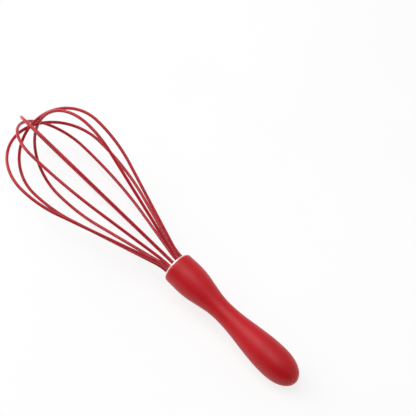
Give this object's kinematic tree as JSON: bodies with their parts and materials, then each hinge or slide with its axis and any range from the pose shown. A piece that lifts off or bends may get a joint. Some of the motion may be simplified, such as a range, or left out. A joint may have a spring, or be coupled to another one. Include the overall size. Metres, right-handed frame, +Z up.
{
  "type": "balloon whisk",
  "caption": "Balloon whisk with silicone-covered spring wire loops, a thin steel mouth ring and a one-piece soft silicone grip with a waist and a round end.",
  "frame": {"origin": "centre of the bounding box's underside, on the table the whisk lies on", "axes": "+X along the whisk towards the crown of the balloon, +Z up from the table"},
  "size_m": [0.2927, 0.0824, 0.0787],
  "materials": {
    "grip_silicone": "satin soft-touch silicone",
    "loop_silicone": "smooth satin silicone",
    "spring_steel": "drawn spring wire",
    "ring_steel": "satin",
    "core_plastic": "moulded",
    "plug_plastic": "moulded, pale",
    "anchor_resin": "cast"
  },
  "bodies": {
    "root": {"grip": "grip_silicone", "handle_core": "core_plastic", "core_cap": "core_plastic", "end_ring": "ring_steel", "wire_plug": "plug_plastic", "wire_anchor": "anchor_resin", "sleeve_1": "loop_silicone", "sleeve_2": "loop_silicone", "sleeve_3": "loop_silicone", "sleeve_4": "loop_silicone", "sleeve_5": "loop_silicone", "wire_1": "spring_steel", "wire_2": "spring_steel", "wire_3": "spring_steel", "wire_4": "spring_steel", "wire_5": "spring_steel"}
  },
  "joints": []
}
